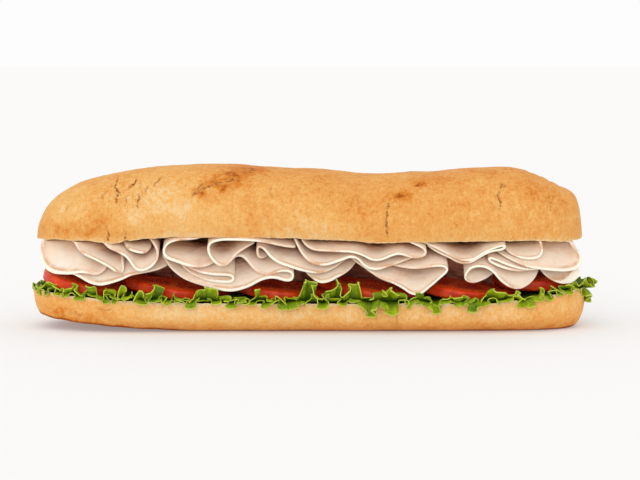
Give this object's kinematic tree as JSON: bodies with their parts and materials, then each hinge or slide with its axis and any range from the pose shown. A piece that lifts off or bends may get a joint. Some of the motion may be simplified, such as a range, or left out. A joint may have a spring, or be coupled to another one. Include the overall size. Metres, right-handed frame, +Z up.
{
  "type": "submarine sandwich",
  "caption": "Long soft roll split lengthwise, filled with ruffled lettuce, overlapping tomato slices and folded slices of roast turkey.",
  "frame": {"origin": "middle of the flat base of the bottom half of the roll", "axes": "+X along the roll, -Y out of the front where the filling shows, +Z up"},
  "size_m": [0.3101, 0.0974, 0.089],
  "materials": {
    "bread": "soft golden crust with a pale cream crumb at the cut edges, matte with a faint sheen",
    "lettuce": "bright yellow-green ruffled leaf with pale ribs and rims, moist",
    "tomato": "wet red flesh with a deeper red skin",
    "turkey": "cream-white cooked meat, smooth and slightly moist"
  },
  "bodies": {
    "root": {"bun_bottom": "bread", "bun_top": "bread", "lettuce_left": "lettuce", "lettuce_middle": "lettuce", "lettuce_right": "lettuce", "tomato_1": "tomato", "tomato_2": "tomato", "tomato_3": "tomato", "tomato_4": "tomato", "tomato_5": "tomato", "tomato_6": "tomato", "turkey_01": "turkey", "turkey_02": "turkey", "turkey_03": "turkey", "turkey_04": "turkey", "turkey_05": "turkey", "turkey_06": "turkey", "turkey_07": "turkey", "turkey_08": "turkey", "turkey_09": "turkey", "turkey_10": "turkey", "turkey_11": "turkey", "turkey_12": "turkey", "turkey_13": "turkey", "turkey_14": "turkey", "turkey_15": "turkey", "turkey_16": "turkey", "turkey_17": "turkey", "turkey_18": "turkey", "turkey_19": "turkey", "turkey_20": "turkey"}
  },
  "joints": []
}
